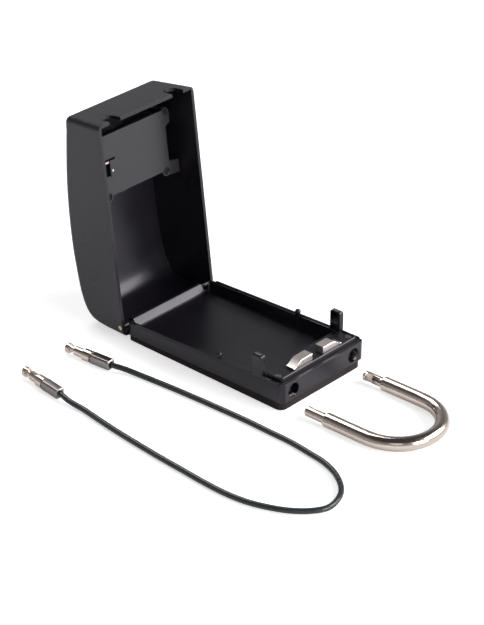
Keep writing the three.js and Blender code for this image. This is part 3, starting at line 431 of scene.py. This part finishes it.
# Numbers on the wheels, made round the wheel's own axis. The axis is placed in the shut lid, in millimetres
WHEEL = {"x": 32.9, "z": 37.4, "pitch": 8, "count": 4}
NUMBERS = {
    "Digits": "0123456789",
    "Face Radius": 10.7 * MM,
    "Size": 6.4 * MM,
    "Raise": 0.06 * MM,
    "Step": math.radians(36),
    "Paint": NUMBER_PAINT,
}
# A digit's walls and underside meet in vertices nearer than this, in millimetres
NUMBER_WELD = 0.001
NUMBER_SOCKETS = {
    "Digits": "String",
    "Face Radius": "Float",
    "Size": "Float",
    "Raise": "Float",
    "Step": "Float",
    "Paint": "Material",
}


def number_ring_tree():
    """Node tree that stands a string's digits round a wheel, each raised on its own facet."""
    tree = bpy.data.node_groups.new("number_ring", "GeometryNodeTree")
    tree.interface.new_socket("Geometry", in_out="OUTPUT", socket_type="NodeSocketGeometry")
    for label, kind in NUMBER_SOCKETS.items():
        tree.interface.new_socket(label, in_out="INPUT", socket_type="NodeSocket" + kind)
    given = node(tree, "NodeGroupInput").outputs
    written = node(tree, "GeometryNodeStringToCurves", {
        "String": given["Digits"], "Size": given["Size"]}, pivot_mode="MIDPOINT").outputs
    filled = node(tree, "GeometryNodeFillCurve", {
        "Curve": written["Curve Instances"]}, mode="NGONS").outputs[0]
    raised = node(tree, "GeometryNodeExtrudeMesh", {
        "Mesh": filled, "Offset Scale": given["Raise"], "Individual": False}).outputs["Mesh"]
    under = node(tree, "GeometryNodeFlipFaces", {"Mesh": filled}).outputs[0]
    # The undersides follow the ten digits, and the same steps bring each to its digit
    closed = node(tree, "GeometryNodeJoinGeometry")
    tree.links.new(raised, closed.inputs[0])
    tree.links.new(under, closed.inputs[0])
    # Out to the facet with its middle on the axis, turned upright, then round to its place
    middle = node(tree, "ShaderNodeVectorMath", {
        0: written["Pivot Point"], "Scale": -1.0}, operation="SCALE").outputs[0]
    outward = node(tree, "ShaderNodeCombineXYZ", {"Z": given["Face Radius"]}).outputs[0]
    spot = node(tree, "ShaderNodeVectorMath", {0: middle, 1: outward}).outputs[0]
    place = node(tree, "FunctionNodeCombineTransform", {"Translation": spot}).outputs[0]
    placed = node(tree, "GeometryNodeSetInstanceTransform", {
        "Instances": closed.outputs[0], "Transform": place}).outputs[0]
    upright = node(tree, "GeometryNodeRotateInstances", {
        "Instances": placed, "Rotation": (0, 0, -math.pi / 2), "Local Space": False}).outputs[0]
    index = node(tree, "GeometryNodeInputIndex").outputs[0]
    angle = node(tree, "ShaderNodeMath", {0: index, 1: given["Step"]}, operation="MULTIPLY").outputs[0]
    turn = node(tree, "FunctionNodeAxisAngleToRotation", {"Axis": (0, 1, 0), "Angle": angle}).outputs[0]
    ring = node(tree, "GeometryNodeRotateInstances", {
        "Instances": upright, "Rotation": turn, "Local Space": False}).outputs[0]
    real = node(tree, "GeometryNodeRealizeInstances", {"Geometry": ring}).outputs[0]
    welded = node(tree, "GeometryNodeMergeByDistance", {
        "Geometry": real, "Distance": NUMBER_WELD * MM}).outputs[0]
    painted = node(tree, "GeometryNodeSetMaterial", {
        "Geometry": welded, "Material": given["Paint"]}).outputs[0]
    node(tree, "NodeGroupOutput", {"Geometry": painted})
    return tree


def wheel_numbers(index, tree):
    """One wheel's numbers as a plain mesh, turned open with the lid."""
    name = f"wheel_numbers_{index}"
    piece = bpy.data.objects.new(name, bpy.data.meshes.new(name))
    scene.collection.objects.link(piece)
    ring = piece.modifiers.new("number_ring", "NODES")
    ring.node_group = tree
    for item in tree.interface.items_tree:
        if item.in_out == "INPUT":
            ring[item.identifier] = NUMBERS[item.name]
    mesh = evaluated_mesh(piece)
    piece.modifiers.clear()
    across = (index - (WHEEL["count"] + 1) / 2) * WHEEL["pitch"]
    mesh.transform(OPEN @ Matrix.Translation(Vector((WHEEL["x"], across, WHEEL["z"])) * MM))
    # The paint is the only material slot
    mesh.materials.clear()
    mesh.materials.append(NUMBER_PAINT)
    mesh.polygons.foreach_set("material_index", [0] * len(mesh.polygons))
    piece.data = mesh
    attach(piece, f"wheel_{index}")


number_ring = number_ring_tree()
for wheel_index in range(1, WHEEL["count"] + 1):
    wheel_numbers(wheel_index, number_ring)

# Floor, world and lamps, in metres
FLOOR_HALF = 6
# The floor lies this far below the object, in millimetres
FLOOR_GAP = 0.05
# How much the card's own shade is lifted where the camera or a gloss sees it
LIFT = {"camera": 0.6, "glossy": 0.17}
# Brightness of the room at a low angle and overhead, where each starts, as the sine of the angle
ROOM = {"low": (0.1, 0.46), "overhead": (0.75, 0.05)}
# Lamps, with their places, widths and heights, and powers in watts
SOFTBOX_AIM = Vector((0, 0, 0.04))
SOFTBOXES = {
    "back_softbox": ((2.2, 2.5, 2.0), (2.9, 2.3), 155),
    "left_softbox": ((-2.3, 0.9, 3.2), (2.2, 1.6), 55),
    "right_softbox": ((3.6, 0.2, 1.2), (1.6, 1.6), 100),
    "front_softbox": ((3.0, -3.3, 2.6), (2, 2), 10),
}


def white_floor():
    """Pale card: lit and shadowed by the lamps, and lifted to white where the camera or a gloss sees it."""
    material, tree = new_material("pale_card")
    rays = node(tree, "ShaderNodeLightPath").outputs
    card = node(tree, "ShaderNodeBsdfDiffuse", {"Color": linear("#ededee")})
    glossy = node(tree, "ShaderNodeMath", {
        0: rays["Is Glossy Ray"], 1: LIFT["glossy"]}, operation="MULTIPLY")
    level = node(tree, "ShaderNodeMath", {
        0: rays["Is Camera Ray"], 1: LIFT["camera"], 2: glossy.outputs[0]}, operation="MULTIPLY_ADD")
    lift = node(tree, "ShaderNodeEmission", {"Color": (1, 1, 1, 1), "Strength": level.outputs[0]})
    lifted = node(tree, "ShaderNodeAddShader", {0: card.outputs[0], 1: lift.outputs[0]})
    node(tree, "ShaderNodeOutputMaterial", {"Surface": lifted.outputs[0]})
    mesh = bpy.data.meshes.new("floor")
    turns = ((-1, -1), (1, -1), (1, 1), (-1, 1))
    corners = [(x * FLOOR_HALF, y * FLOOR_HALF, -FLOOR_GAP * MM) for x, y in turns]
    mesh.from_pydata(corners, [], [(0, 1, 2, 3)])
    mesh.materials.append(material)
    floor = bpy.data.objects.new("floor", mesh)
    scene.collection.objects.link(floor)


def soft_world():
    """A plain pale room whose ceiling is dimmer than its walls, and white where the camera sees it."""
    world = bpy.data.worlds.new("studio")
    world.use_nodes = True
    tree = world.node_tree
    tree.nodes.clear()
    rays = node(tree, "ShaderNodeLightPath").outputs
    seen = node(tree, "ShaderNodeMath", {
        0: rays["Is Camera Ray"], 1: rays["Is Transmission Ray"]}, operation="MAXIMUM")
    heading = node(tree, "ShaderNodeTexCoord").outputs["Generated"]
    height = node(tree, "ShaderNodeSeparateXYZ", {"Vector": heading}).outputs["Z"]
    room = node(tree, "ShaderNodeMapRange", {
        "Value": height, "From Min": ROOM["low"][0], "From Max": ROOM["overhead"][0],
        "To Min": ROOM["low"][1], "To Max": ROOM["overhead"][1]})
    level = node(tree, "ShaderNodeMapRange", {
        "Value": seen.outputs[0], "To Min": room.outputs["Result"], "To Max": 1.0})
    sky = node(tree, "ShaderNodeBackground", {"Color": (1, 1, 1, 1), "Strength": level.outputs["Result"]})
    node(tree, "ShaderNodeOutputWorld", {"Surface": sky.outputs[0]})
    scene.world = world


def softbox(name, spot, size, power):
    """A rectangular lamp that faces the object."""
    data = bpy.data.lights.new(name, "AREA")
    data.shape = "RECTANGLE"
    data.size, data.size_y = size
    data.energy = power
    lamp = bpy.data.objects.new(name, data)
    scene.collection.objects.link(lamp)
    facing = (Vector(spot) - SOFTBOX_AIM).to_track_quat("Z", "Y").to_matrix().to_4x4()
    lamp.matrix_world = Matrix.Translation(spot) @ facing


white_floor()
soft_world()
for name, (spot, size, power) in SOFTBOXES.items():
    softbox(name, spot, size, power)

scene.view_settings.view_transform = "Standard"
